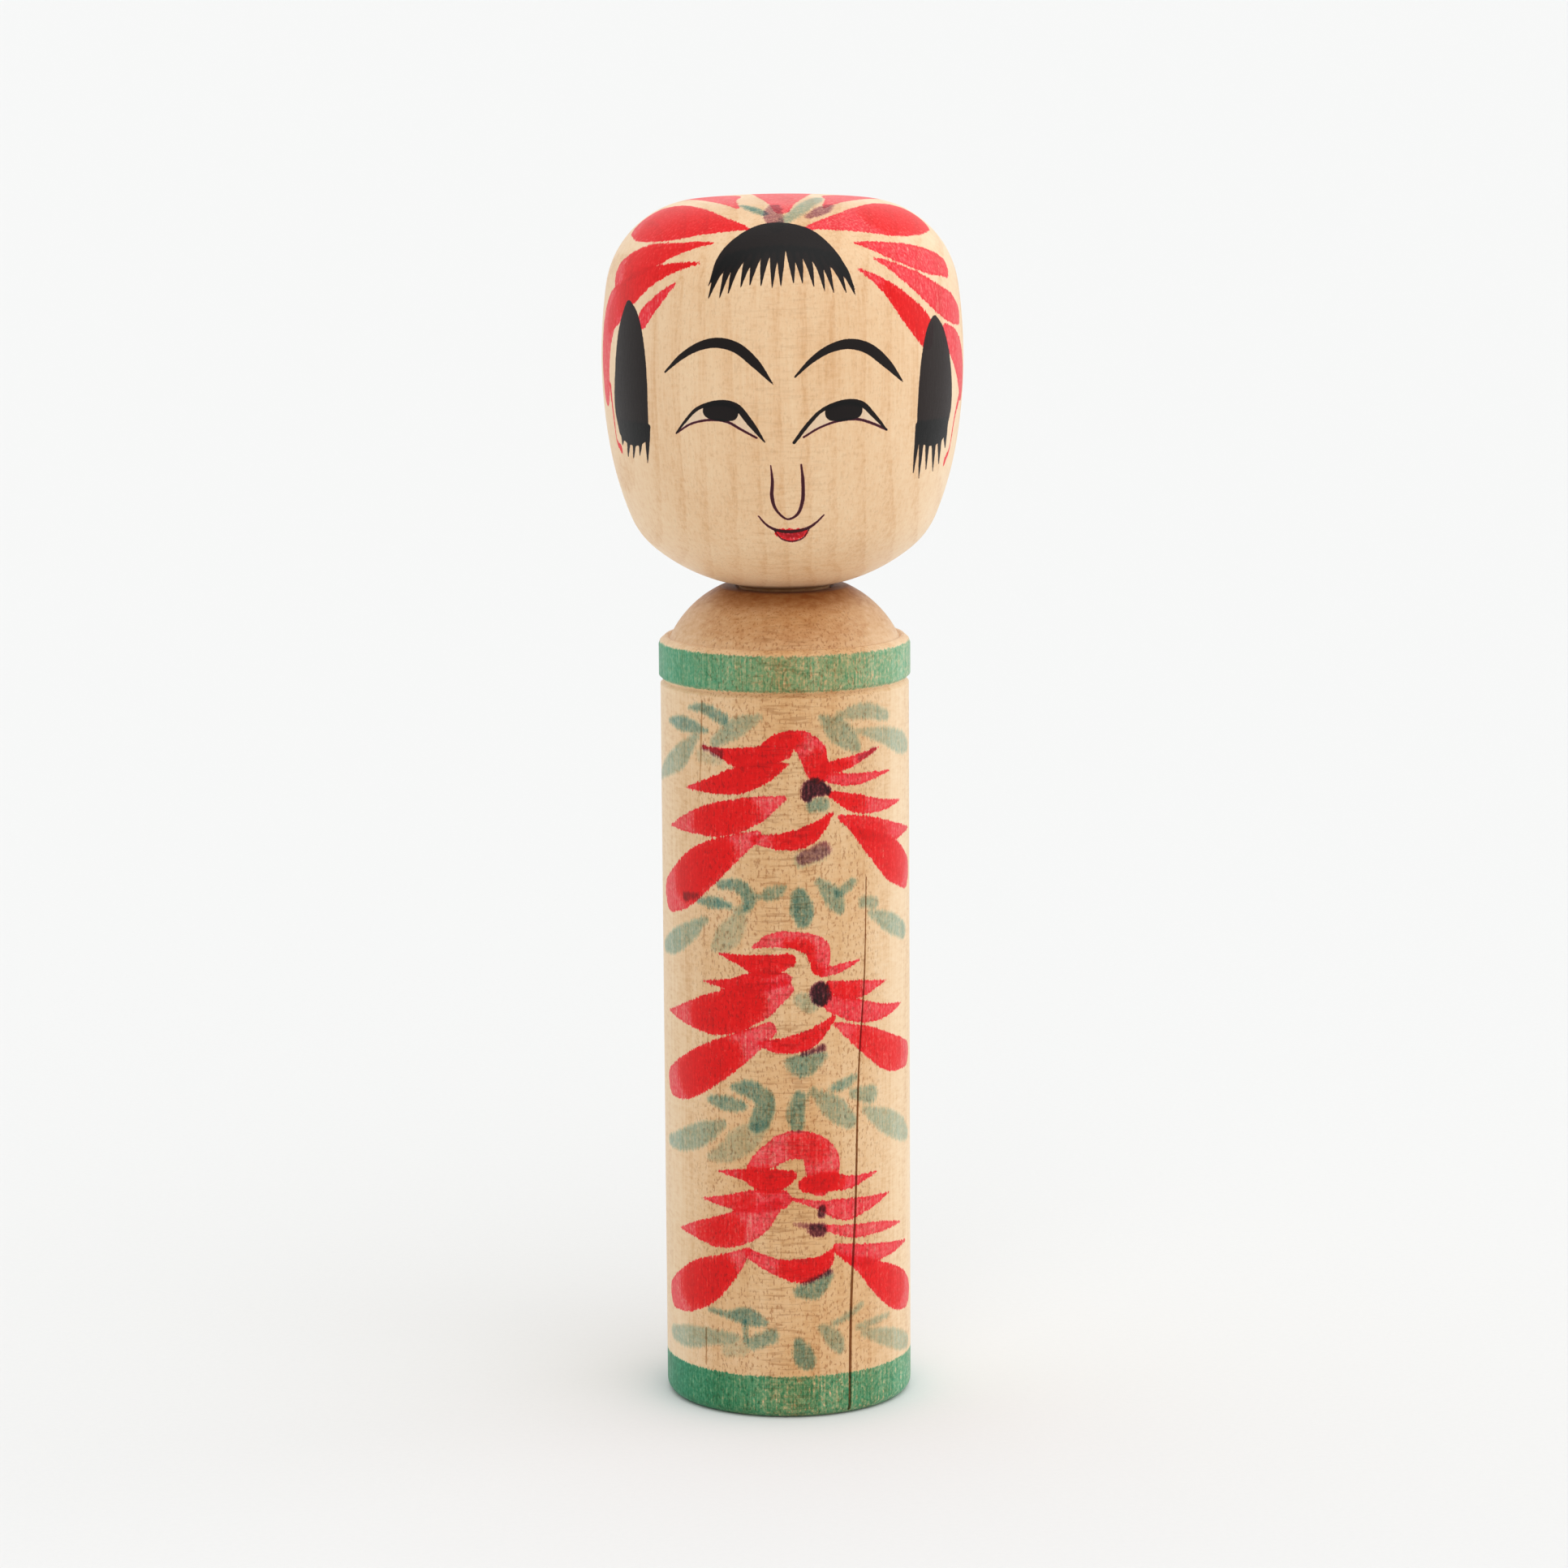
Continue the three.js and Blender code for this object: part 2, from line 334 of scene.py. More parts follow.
LOWEST_FLOWER = [
    *petal([(-7.4, 50.9), (-4.6, 52.7), (0.2, 55.6), (4.8, 55), (7, 51.8), (6.4, 48)],
           [0.8, 2.1, 2.8, 2.9, 3.6, 2.8], 0.42, deep=[(0.5, 0.64, 0.3)]),
    *petal([(0.5, 49.4), (-3.8, 48.4), (-9, 49.4), (-14.5, 49.6)], [1.2, 2.4, 1.1, 0.1], 0.55,
           deep=[(0, 0.6, 0.8)]),
    *petal([(-1.2, 44.8), (-6.5, 44.2), (-11.5, 43.7), (-18.4, 43.5)], [1.8, 2.3, 1.5, 0.1],
           0.48, deep=[(0.45, 0.7, 0.3)]),
    *petal([(-2.2, 43.6), (-7.5, 39.7), (-14, 37.3), (-19.5, 36.8), (-26, 36)],
           [1.2, 3.2, 3.2, 1.9, 0.1], 0.42, deep=[(0.4, 0.72, 0.5)]),
    *petal([(-8, 34.2), (-12.8, 30.2), (-18.6, 26.4), (-24, 23.6), (-28.4, 22)],
           [0.6, 2.7, 4.6, 4.3, 3.1], 0.42, deep=[(0.3, 0.64, 0.95)]),
    *petal([(-7.7, 33.4), (-2, 30.9), (3, 30.2), (7, 31.5), (9.2, 34.2)],
           [1, 1.7, 2.4, 1.7, 0.4], 0.5, deep=[(0.35, 0.9, 0.7)]),
    *petal([(3.6, 47.6), (8, 47.9), (12.6, 47.4), (19.4, 48.5)], [1.6, 1.9, 1.3, 0.1], 0.5,
           deep=[(0, 0.42, 0.8)]),
    *petal([(0.6, 44.9), (6, 43.4), (11.5, 42), (16.5, 42.4), (23.5, 43.5)],
           [0.2, 0.9, 2.2, 1.5, 0.1], 0.48),
    *petal([(7.6, 38.7), (13, 37.4), (20, 37.1), (28, 36.5)], [0.6, 1.3, 1.1, 0.1], 0.42),
    *petal([(9.8, 34.4), (14.5, 32.3), (22, 32), (31, 32)], [0.9, 2.2, 1.5, 0.1], 0.48),
    *petal([(10.4, 33), (15.8, 29.8), (21.8, 25.8), (27, 22.8), (31, 21.2)],
           [0.3, 1.6, 3.5, 4.1, 3.1], 0.46, deep=[(0.3, 0.72, 0.5)]),
    stroke("plum", 0.9, [(6.7, 42.5), (6.7, 41.6)], [0.8, 0.8], chart="wall"),
    stroke("plum", 0.8, [(5.2, 38.4), (6.4, 38.2)], [1.2, 1.2], chart="wall"),
    stroke("plum", 0.4, [(1.4, 39.6), (7, 38.9)], [0.3, 0.6], chart="wall"),
    stroke("plum", 0.6, [(3, 27.6), (8.3, 29.7)], [0.3, 0.5], chart="wall"),
    leaf(0.9, [(2.3, 26), (5, 26.2), (8, 28.8)], [1.2, 1.8, 0.9]),
]

# Leaves, left then right, in the four gaps from the shoulder down to the foot.
LEAVES = [
    leaf(0.95, [(-21, 141.4), (-17.5, 141.7), (-12.8, 140)], [0.3, 0.9, 1.2]),
    leaf(0.95, [(-28.6, 138), (-23, 138), (-16.6, 137.3)], [0.5, 1.5, 0.4]),
    leaf(0.55, [(-19.3, 135.8), (-24.5, 131.3), (-30, 128.6), (-36, 126)], [0.8, 2.3, 1.8, 1]),
    leaf(0.55, [(-5, 140.6), (-9.5, 138.6), (-14.5, 135.2)], [0.5, 1.9, 1.1]),
    leaf(0.22, [(-18, 132.3), (-13.8, 131.7)], [1.3, 0.9]),
    leaf(0.5, [(11, 140.6), (17, 141), (23, 139.4)], [0.8, 1.6, 1]),
    leaf(0.6, [(7.2, 140.4), (11, 137.4), (14.5, 134.2)], [0.5, 2.4, 1.2]),
    leaf(0.5, [(15.5, 137.1), (22, 135.6), (29, 133.2), (33, 132)], [0.5, 1.6, 2.2, 1.2]),

    leaf(1, [(-13.6, 107.2), (-9.5, 107.2), (-7.3, 104.8), (-8, 102.4)], [0.7, 1.3, 1.3, 0.6]),
    leaf(0.5, [(-10, 102.2), (-8.4, 103)], [0.8, 0.8]),
    leaf(1.1, [(-19, 103.3), (-15, 103.4), (-11.4, 103.1)], [0.4, 1.1, 0.5]),
    leaf(0.8, [(-5.2, 105.2), (-2.6, 106), (-0.2, 107.2)], [0.6, 1.3, 0.3]),
    leaf(0.65, [(-17.3, 99.8), (-22, 96.6), (-28, 93.6), (-33, 92)], [0.6, 2, 2.2, 1.2]),
    leaf(0.35, [(-9.2, 100.6), (-12, 97), (-14.6, 94.6)], [1.4, 2.6, 1.1]),
    leaf(1.15, [(2.6, 105.4), (3.2, 102.5), (3.3, 100.6)], [1.5, 2.2, 1.5]),
    leaf(0.75, [(6.6, 108), (9.6, 104.6), (10.8, 102.4)], [0.7, 1.9, 1]),
    leaf(0.75, [(10.5, 105.5), (13.8, 107.4)], [0.9, 0.8]),
    leaf(0.55, [(16.3, 103.2), (19.2, 102.7)], [1.2, 1.1]),
    leaf(0.6, [(18, 100.8), (24, 98), (30, 95.3)], [0.6, 2, 1.6]),

    leaf(1, [(-10.8, 66.9), (-7, 66.6), (-4.4, 64.4), (-5.4, 60.6), (-6.4, 59.2)],
         [0.7, 1.8, 1.9, 2, 1.2]),
    leaf(0.9, [(-16.4, 63.8), (-12, 63.4), (-8.8, 63.2)], [0.8, 1.5, 0.7]),
    leaf(0.6, [(-13.4, 59.2), (-18.5, 56.6), (-25, 54), (-30.6, 52.9)], [0.8, 2.3, 2.1, 1.1]),
    leaf(0.35, [(-4.6, 59.5), (-9, 56.4), (-13, 53.4), (-16.6, 52.3)], [1.2, 2.8, 1.9, 0.7]),
    leaf(1, [(2.3, 65.2), (1.6, 61.8), (1.9, 59.6)], [1.3, 1.7, 1.3]),
    leaf(0.8, [(9, 66.6), (11.8, 67.4), (13.9, 68.4)], [0.6, 1.1, 0.5]),
    leaf(0.6, [(5.2, 66.3), (9.5, 62.6), (12.8, 59.7)], [0.7, 2.3, 1.6]),
    leaf(0.6, [(13.8, 65.2), (17.8, 64.4)], [1, 1.9]),
    leaf(0.5, [(16.5, 61.4), (22.5, 58.2), (28.5, 55.4), (31.8, 53.6)], [0.8, 2.4, 2.3, 1.4]),

    leaf(1, [(-16.8, 21), (-12.5, 20.6), (-8.2, 20.6), (-5, 19.6)], [0.4, 0.8, 1.7, 0.8]),
    leaf(0.9, [(-8.8, 19.5), (-8.7, 15.5)], [0.5, 0.3]),
    leaf(0.55, [(-30, 13.5), (-23.5, 14.2), (-17, 15.4), (-11, 16)], [1.4, 2.2, 1.7, 0.9]),
    leaf(0.75, [(-7.2, 15.2), (-3.6, 16.9)], [1.3, 1.5]),
    leaf(0.25, [(-12.6, 13.4), (-9.6, 13.8)], [1.5, 1.3]),
    leaf(1, [(1.9, 15.6), (2.9, 12.8), (3.6, 11.8)], [1, 2, 1.8]),
    leaf(0.55, [(9.2, 19), (12.6, 20.4), (15.2, 22)], [0.6, 0.6, 0.6]),
    leaf(0.55, [(6.6, 18.3), (9, 16), (10.4, 13.8)], [0.7, 1.7, 1.1]),
    leaf(0.45, [(14.6, 17.6), (19, 18.1), (23, 18.5)], [0.6, 0.7, 0.4]),
    leaf(0.45, [(16.2, 16.2), (21.5, 14.4), (27, 12.4), (31.6, 10.9)], [0.8, 1.7, 2, 1.5]),
]

# A drying check in the wood, wider towards the foot, and three short faint ones.
BODY_CHECKS = [
    stroke("check", 1, [(17, 108), (16.5, 89), (15, 70), (14, 41), (13, 24), (12.5, 1)],
           [0.1, 0.16, 0.2, 0.24, 0.28, 0.3], chart="wall"),
    stroke("check", 0.45, [(-17.6, 143), (-18, 133), (-18.6, 122)], [0.18, 0.2, 0.06],
           chart="wall"),
    stroke("check", 0.35, [(-13.6, 78), (-14, 66), (-14.4, 58)], [0.08, 0.16, 0.06],
           chart="wall"),
    stroke("check", 0.5, [(-18, 17), (-18.1, 9.5)], [0.22, 0.16], chart="wall"),
]

# Fringe: a cap of ink whose lower edge is combed into strands every 2 mm.
FRINGE = [
    patch("ink", 1,
          [(-14, 224.4), (-12, 230), (-8.5, 233.5), (-4.5, 235.5), (-0.8, 236), (3.2, 235.5),
           (6.4, 234.2), (9.8, 231.2), (12.2, 227.6), (13.8, 223.6)],
          [(13, 225), (11, 228.4), (6, 230.6), (0, 231), (-6, 230.6), (-10, 229.4),
           (-12.6, 226.4)]),
]
FRINGE_COMBED = (0, 0.3, -0.6, 0.4, -0.3)
for number in range(15):
    tip = -14 + 2 * number + 0.4 * FRINGE_COMBED[number % 5]
    foot = 224.8 - 0.014 * tip * tip + FRINGE_COMBED[number * 2 % 5]
    FRINGE.append(stroke("ink", 1, [(tip * 0.72, 231 - 0.008 * tip * tip),
                                    (tip * 0.87, 228.6 - 0.01 * tip * tip), (tip, foot)],
                         [0.8, 0.6, 0.06]))

# Side hair: a broad lock pulled down in front of each ear, ending in separate strands.
SIDE_HAIR = [
    stroke("ink", 0.95, [(-29.4, 220.4), (-29.2, 218.4), (-29.2, 214.5), (-29.2, 208),
                         (-29.2, 200), (-28.8, 196)], [0.5, 1.4, 2.4, 3.1, 3.3, 3]),
    stroke("ink", 0.85, [(29.2, 217.2), (29.3, 215), (29.4, 211), (29.4, 206),
                         (29.2, 200), (28.7, 195.6)], [0.5, 1.6, 2.6, 3.2, 3.4, 3]),
]
for root, tip, foot in ((-26, -26.1, 189.8), (-27.2, -27.6, 191.2), (-28.4, -28.9, 190.4),
                        (-29.6, -30, 190.6), (-30.8, -31.1, 192.6), (26, 25, 187.6),
                        (26.8, 26.1, 186.4), (28, 27.5, 188), (29.2, 28.9, 187.4),
                        (30.4, 30.1, 188.6), (31.4, 31.4, 191.6)):
    SIDE_HAIR.append(stroke("ink", 1, [(root, 197), ((root + tip) / 2, (197 + foot) / 2),
                                       (tip, foot)], [0.55, 0.36, 0.05]))


def brow(left, height):
    """One arched brow, pulled from left to right and pressed harder as it goes."""
    arch = [(0, 0), (3.2, 3.1), (6.6, 5.2), (10.2, 6), (13.8, 5.1), (17.3, 2.2), (20.6, -1.7)]
    return stroke("ink", 1, [(left + x, height + z) for x, z in arch],
                  [0.14, 0.5, 0.75, 0.95, 1, 0.85, 0.1])


BROWS = [brow(-22.5, 207.8), brow(2.3, 207.4)]

# Eyes: white under a long upper lid, a thin lower lid, and a dark iris hung from the upper.
EYES = [
    patch("white", 0.8, [(-19.6, 197), (-16.5, 201), (-12.2, 202.4), (-8.8, 201.8), (-4.6, 196)],
          [(-8, 197.4), (-13.7, 199.2), (-17.5, 198.2)]),
    patch("white", 0.8, [(3.4, 196), (7.6, 201), (11.9, 202.4), (14.9, 201.9), (19.2, 197)],
          [(14.3, 198.9), (10.9, 198.7), (7, 197.6)]),
    stroke("line", 1, [(-20.4, 196.2), (-17.5, 198.2), (-13.7, 199.1), (-10.6, 198.8),
                       (-8, 197.4), (-5, 195.8)], [0.14, 0.18, 0.22, 0.24, 0.22, 0.18]),
    stroke("line", 1, [(3.9, 195.9), (7, 197.7), (10.8, 198.9), (14.3, 199), (17.2, 198),
                       (19.7, 196.7)], [0.18, 0.18, 0.22, 0.24, 0.24, 0.2]),
    stroke("ink", 1, [(-20.4, 196.2), (-18.5, 198.8), (-16.2, 201.2), (-12.2, 202.5),
                      (-9, 201.9), (-6.4, 198.9), (-3.5, 195)],
           [0.12, 0.24, 0.32, 0.42, 0.55, 0.62, 0.12]),
    stroke("ink", 1, [(2.1, 194.9), (4.7, 198.3), (7.6, 201.1), (11.9, 202.5), (14.9, 202),
                      (17.3, 199.6), (19.8, 196.6)],
           [0.3, 0.36, 0.32, 0.42, 0.5, 0.42, 0.12]),
    stroke("ink", 1, [(-13.7, 200.8), (-11.8, 200.7), (-10, 200.5)], [1.5, 1.8, 1.5]),
    stroke("ink", 1, [(9.5, 200.4), (11.6, 200.6), (13.6, 200.7)], [1.5, 1.8, 1.5]),
]

NOSE_AND_MOUTH = [
    stroke("line", 1, [(-2.4, 190.5), (-2.1, 187.4), (-2.2, 184.4), (-1.5, 181.9),
                       (0.7, 179.9), (2.6, 180.8), (3.6, 183.4), (3.7, 187.4), (3.4, 190.6)],
           [0.1, 0.27, 0.33, 0.25, 0.17, 0.25, 0.32, 0.3, 0.16]),
    stroke("line", 1, [(-4.8, 180.5), (-3.2, 178.7), (-1.3, 177.7), (1.4, 177.4), (4.5, 178),
                       (6.2, 179.1), (7.7, 180.6)],
           [0.12, 0.2, 0.27, 0.32, 0.27, 0.2, 0.12]),
    stroke("wash", 0.75, [(-0.9, 177.1), (1.4, 176.7), (3.9, 177.2)], [0.7, 1.3, 0.7]),
    stroke("plum", 0.3, [(-0.6, 177), (1.4, 176.6), (3.6, 177)], [0.4, 0.6, 0.4]),
    stroke("line", 0.7, [(-1.7, 177.5), (-0.5, 176), (1.4, 175.4), (3.6, 176), (4.8, 177.7)],
           [0.1, 0.13, 0.15, 0.13, 0.1]),
]


def ribbon(places, widths, load, deep=()):
    """One loop of the tied ribbon, pulled from the knot out over the crown."""
    return petal(on_crown(*places), widths, load, deep, chart="crown")


# The tied ribbon on the crown: its loops fan out from a knot above the fringe.
RIBBON = [
    # Left of the knot, from the back of the crown down to the side hair.
    *ribbon([(-24, 21), (-45, 15.5), (-78, 12.5), (-104, 16)], [0.4, 2.2, 4.2, 4], 0.42),
    *ribbon([(-13, 28.8), (-30, 27.4), (-48, 27), (-64, 27), (-75, 27.4)],
            [0.3, 2.8, 5.3, 5.9, 4.6], 0.6, [(0, 0.75, 0.5)]),
    *ribbon([(-26, 32.4), (-41, 34.2), (-54, 36.6), (-67, 40)], [0.2, 1.6, 3.2, 3.2], 0.5,
            [(0, 0.85, 0.7)]),
    *ribbon([(-29, 36.8), (-42, 38.6), (-54, 41.4), (-64, 45.6), (-71, 49)],
            [0.2, 1.3, 2.9, 3.6, 2.6], 0.6, [(0, 0.65, 0.8)]),
    *ribbon([(-36.5, 41), (-43.5, 44.4), (-49.5, 48)], [0.2, 1.2, 1.9], 0.6),
    *ribbon([(-62, 44), (-72, 48.5), (-76, 55), (-76, 61.5)], [2.6, 4.6, 5.2, 4.4], 0.5),
    stroke("wash", 0.6, on_crown((-71, 62), (-70, 68.5), (-70, 72.5), (-67, 74)),
           [0.9, 0.5, 0.5, 0.9], chart="crown"),
    # Over the middle of the crown.
    *ribbon([(0, 22), (0, 13), (0, 3), (180, 10), (180, 22)], [1.6, 3.4, 5, 6, 5], 0.4),
    # Right of the knot, the same way round.
    *ribbon([(23, 21), (45, 15), (78, 12.5), (104, 16)], [0.4, 2.2, 4.2, 4], 0.42),
    *ribbon([(9, 28.7), (28, 26.8), (48, 26.2), (64, 26), (76, 26.8)],
            [0.3, 2.8, 5.2, 5.6, 4.2], 0.5, [(0.5, 1, 0.35)]),
    *ribbon([(27, 32.6), (42, 34.8), (56, 37), (69, 39)], [0.2, 2, 2.8, 2.2], 0.5),
    *ribbon([(33, 36.2), (47, 40.6), (60, 45), (70, 47.2), (76, 48.6)],
            [0.2, 1.9, 2.9, 2.9, 2], 0.5),
    *ribbon([(26, 38.2), (36, 42.2), (44, 46.8), (51.5, 51)], [0.2, 1.5, 2.9, 3.4], 0.55,
            [(0.35, 1, 0.7)]),
    *ribbon([(63, 52), (74, 56.5), (80, 61.5)], [2.2, 4, 4.2], 0.5),
    stroke("wash", 0.6, on_crown((78, 64), (73, 69), (72, 74.6), (69, 77)),
           [1.1, 0.6, 0.55, 0.95], chart="crown"),
    # The knot and the leaves beside it.
    stroke("leaf", 1.2, on_crown((-23, 19.6), (-15, 21.6), (-8, 23.8)), [0.4, 0.9, 0.6],
           chart="crown"),
    stroke("leaf", 0.6, on_crown((0, 27), (9, 22.2), (24, 15), (42, 10.6)),
           [1, 1.4, 1.5, 0.9], chart="crown"),
    stroke("plum", 0.35, on_crown((-4, 20), (-4, 24), (-2, 28)), [1.2, 1.8, 1.6],
           chart="crown"),
    stroke("plum", 0.4, on_crown((12, 25), (20, 22.5), (28, 20)), [0.6, 1.4, 0.7],
           chart="crown"),
]

BODY_MARKS = TOP_FLOWER + MIDDLE_FLOWER + LOWEST_FLOWER + LEAVES + BODY_CHECKS
HEAD_MARKS = FRINGE + SIDE_HAIR + BROWS + EYES + NOSE_AND_MOUTH + RIBBON

# ---- Turning and painting the pieces -----------------------------------------------------


def turn_on_the_lathe(outline, front_steps, back_steps):
    """A bmesh of the outline spun round Z, finer on the painted front than on the back."""
    shape = bmesh.new()
    along = shape.verts.layers.float.new("along")
    line = []
    travelled = 0
    for number, (radius, height) in enumerate(outline):
        if number:
            travelled += math.dist(outline[number - 1], (radius, height))
        vert = shape.verts.new((-radius * MM, 0, height * MM))
        vert[along] = travelled
        line.append(vert)
    edges = [shape.edges.new(pair) for pair in zip(line, line[1:])]
    for angle, steps in ((math.pi, front_steps), (-math.pi, back_steps)):
        bmesh.ops.spin(shape, geom=line + edges, cent=(0, 0, 0), axis=(0, 0, 1),
                       angle=angle, steps=steps, use_merge=False)
    bmesh.ops.remove_doubles(shape, verts=shape.verts[:], dist=0.002 * MM)
    bmesh.ops.recalc_face_normals(shape, faces=shape.faces[:])
    return shape


def surface_places(shape):
    """Vertex positions in millimetres, and how far along the outline each one lies."""
    along = shape.verts.layers.float["along"]
    places = np.array([vert.co for vert in shape.verts]) / MM
    return places, np.array([vert[along] for vert in shape.verts])


def body_charts(places, along):
    radius = np.hypot(places[:, 0], places[:, 1])
    turn = np.arctan2(places[:, 0], -places[:, 1])
    wall = np.column_stack([turn * BODY_RADIUS, places[:, 2]])
    return {"wall": (wall, radius > BODY_RADIUS - 1)}


def head_charts(places, along):
    turn = np.arctan2(places[:, 0], -places[:, 1])
    reach = along.max() - along
    outside = reach < OUTSIDE_REACH
    crown = np.column_stack([reach * np.sin(turn), reach * np.cos(turn)])
    return {
        "face": (places[:, [0, 2]], outside & (places[:, 1] < 0)),
        "crown": (crown, outside & (reach < CROWN_REACH)),
    }


def refine_near_marks(shape, marks, charts_of, finest):
    """Halves the edges that run close to the edge of a painted mark."""
    for longest in finest:
        edge_distance = lay_marks(marks, charts_of(*surface_places(shape)))[1]
        shape.verts.index_update()
        chosen = []
        for edge in shape.edges:
            length = edge.calc_length() / MM
            nearest = min(edge_distance[vert.index] for vert in edge.verts)
            if length > longest and nearest < 0.75 * length:
                chosen.append(edge)
        bmesh.ops.subdivide_edges(shape, edges=chosen, cuts=1, use_grid_fill=True)


FRONT_ROOM = 0.68
MAP_HALF_WIDTH = 0.495


def unwrap(mesh, along, shares):
    """A map for baking, open at the back: the front gets more room than the back."""
    uv_map = mesh.uv_layers.new(name="OFBake")
    corners = np.empty(len(mesh.loops), int)
    mesh.loops.foreach_get("vertex_index", corners)
    co = np.empty(len(mesh.vertices) * 3)
    mesh.vertices.foreach_get("co", co)
    co = co.reshape(-1, 3)
    turn = np.arctan2(co[:, 0], -co[:, 1])[corners]
    starts = np.empty(len(mesh.polygons), int)
    sizes = np.empty(len(mesh.polygons), int)
    centres = np.empty(len(mesh.polygons) * 3)
    mesh.polygons.foreach_get("loop_start", starts)
    mesh.polygons.foreach_get("loop_total", sizes)
    mesh.polygons.foreach_get("center", centres)
    centres = centres.reshape(-1, 3)
    middle = np.repeat(np.arctan2(centres[:, 0], -centres[:, 1]), sizes)
    # The corners at the open seam, and those on the axis, take the side of their own face.
    turn = np.where(turn - middle > math.pi, turn - 2 * math.pi, turn)
    turn = np.where(middle - turn > math.pi, turn + 2 * math.pi, turn)
    on_axis = np.hypot(co[:, 0], co[:, 1])[corners] < 0.01 * MM
    turn = np.where(on_axis, middle, turn)
    share = np.abs(turn) / math.pi
    eased = FRONT_ROOM * np.sin(share * math.pi / 2) + (1 - FRONT_ROOM) * share
    across = 0.5 + MAP_HALF_WIDTH * np.sign(turn) * eased
    up = np.interp(along[corners], *shares)
    uv_map.data.foreach_set("uv", np.column_stack([across, up]).astype(np.float32).ravel())


def finish_piece(name, shape, marks, charts_of, shares, material):
    """Opens the crack, then makes the object with its dyes, baking map and material."""
    places, along = surface_places(shape)
    layers = lay_marks(marks, charts_of(places, along))[0]
    if "check" in layers:
        depth, load = layers["check"]
        opened = np.clip(depth / CRACK_EDGE, 0, 1) * (load > OPEN_CRACK_LOAD)
        radius = np.hypot(places[:, 0], places[:, 1])
        shrink = 1 - opened * CRACK_DEPTH / np.maximum(radius, 1)
        for vert, factor in zip(shape.verts, shrink):
            if factor < 1:
                vert.co.x *= factor
                vert.co.y *= factor
    mesh = bpy.data.meshes.new(name)
    for face in shape.faces:
        face.smooth = True
    shape.to_mesh(mesh)
    shape.free()
    for dye, (depth, load) in layers.items():
        for part, values in (("depth", depth), ("load", load)):
            attribute = mesh.attributes.new(f"{dye}_{part}", "FLOAT", "POINT")
            attribute.data.foreach_set("value", values.astype(np.float32))
    unwrap(mesh, along, shares)
    mesh.materials.append(material)
    piece = bpy.data.objects.new(name, mesh)
    bpy.context.scene.collection.objects.link(piece)
    return piece


# ---- Shader building ---------------------------------------------------------------------


class Value:
    """A shader socket that Python's own signs combine into Math nodes."""

    def __init__(self, tree, end):
        self.tree = tree
        self.end = end

    def node(self, kind, settings=None, inputs=None, output=0):
        """Makes any node: its settings first, then the values or links of its sockets."""
        made = self.tree.nodes.new(kind)
        for name, setting in (settings or {}).items():
            if name == "stops":
                ramp = made.color_ramp.elements
                while len(ramp) < len(setting):
                    ramp.new(1)
                for stop, (position, colour) in zip(ramp, setting):
                    stop.position = position
                    stop.color = (*colour, 1)
            else:
                setattr(made, name, setting)
        for name, given in (inputs or {}).items():
            if isinstance(given, Value):
                self.tree.links.new(given.end, made.inputs[name])
            else:
                made.inputs[name].default_value = given
        return Value(self.tree, made.outputs[output])

    def maths(self, operation, *others):
        """A Math node that takes this value first."""
        return self.node("ShaderNodeMath", {"operation": operation},
                         dict(enumerate((self, *others))))

    def __add__(self, other):
        return self.maths("ADD", other)

    def __sub__(self, other):
        return self.maths("SUBTRACT", other)

    def __mul__(self, other):
        return self.maths("MULTIPLY", other)

    def __truediv__(self, other):
        return self.maths("DIVIDE", other)

    def __rsub__(self, other):
        return self * -1.0 + other

    __radd__ = __add__
    __rmul__ = __mul__

    def rise(self, low, high):
        """0 below low, 1 above high, and a smooth rise between them."""
        return self.node("ShaderNodeMapRange", {"interpolation_type": "SMOOTHSTEP"},
                         {"Value": self, "From Min": low, "From Max": high})

    def band(self, low, high, softness):
        return self.rise(low, low + softness) * (1 - self.rise(high - softness, high))

    def grain(self, scale, detail=2.0, roughness=0.5):
        """Noise on a vector, stretched by its own scale along each axis."""
        stretched = self.node("ShaderNodeVectorMath", {"operation": "MULTIPLY"},
                              {0: self, 1: scale})
        return self.node("ShaderNodeTexNoise", None,
                         {"Vector": stretched, "Scale": 1.0, "Detail": detail,
                          "Roughness": roughness})

    def ramp(self, *stops):
        return self.node("ShaderNodeValToRGB", {"stops": stops}, {0: self})

    def mix(self, factor, other, how="MIX"):
        return self.node("ShaderNodeMix", {"data_type": "RGBA", "blend_type": how},
                         {0: factor, 6: self, 7: other}, output=2)

    def attribute(self, name):
        return self.node("ShaderNodeAttribute", {"attribute_name": name}, output=2)


def new_material(name):
    """A material, a value to build its nodes from, and its Principled shader."""
    material = bpy.data.materials.new(name)
    material.use_nodes = True
    tree = material.node_tree
    shader = next(node for node in tree.nodes if node.type == "BSDF_PRINCIPLED")
    return material, Value(tree, None), shader


# Light lost per unit of dye, as a rate for red, green and blue.
DYES = {
    "wash": (0.13, 5.0, 3.7),
    "wet": (0.12, 5.0, 5.2),
    "leaf": (1.25, 0.58, 0.4),
    "plum": (2.1, 3.8, 2.7),
    "ink": (5.0, 5.6, 5.4),
    "line": (2.9, 4.9, 3.5),
    "check": (1.1, 1.7, 2.4),
}
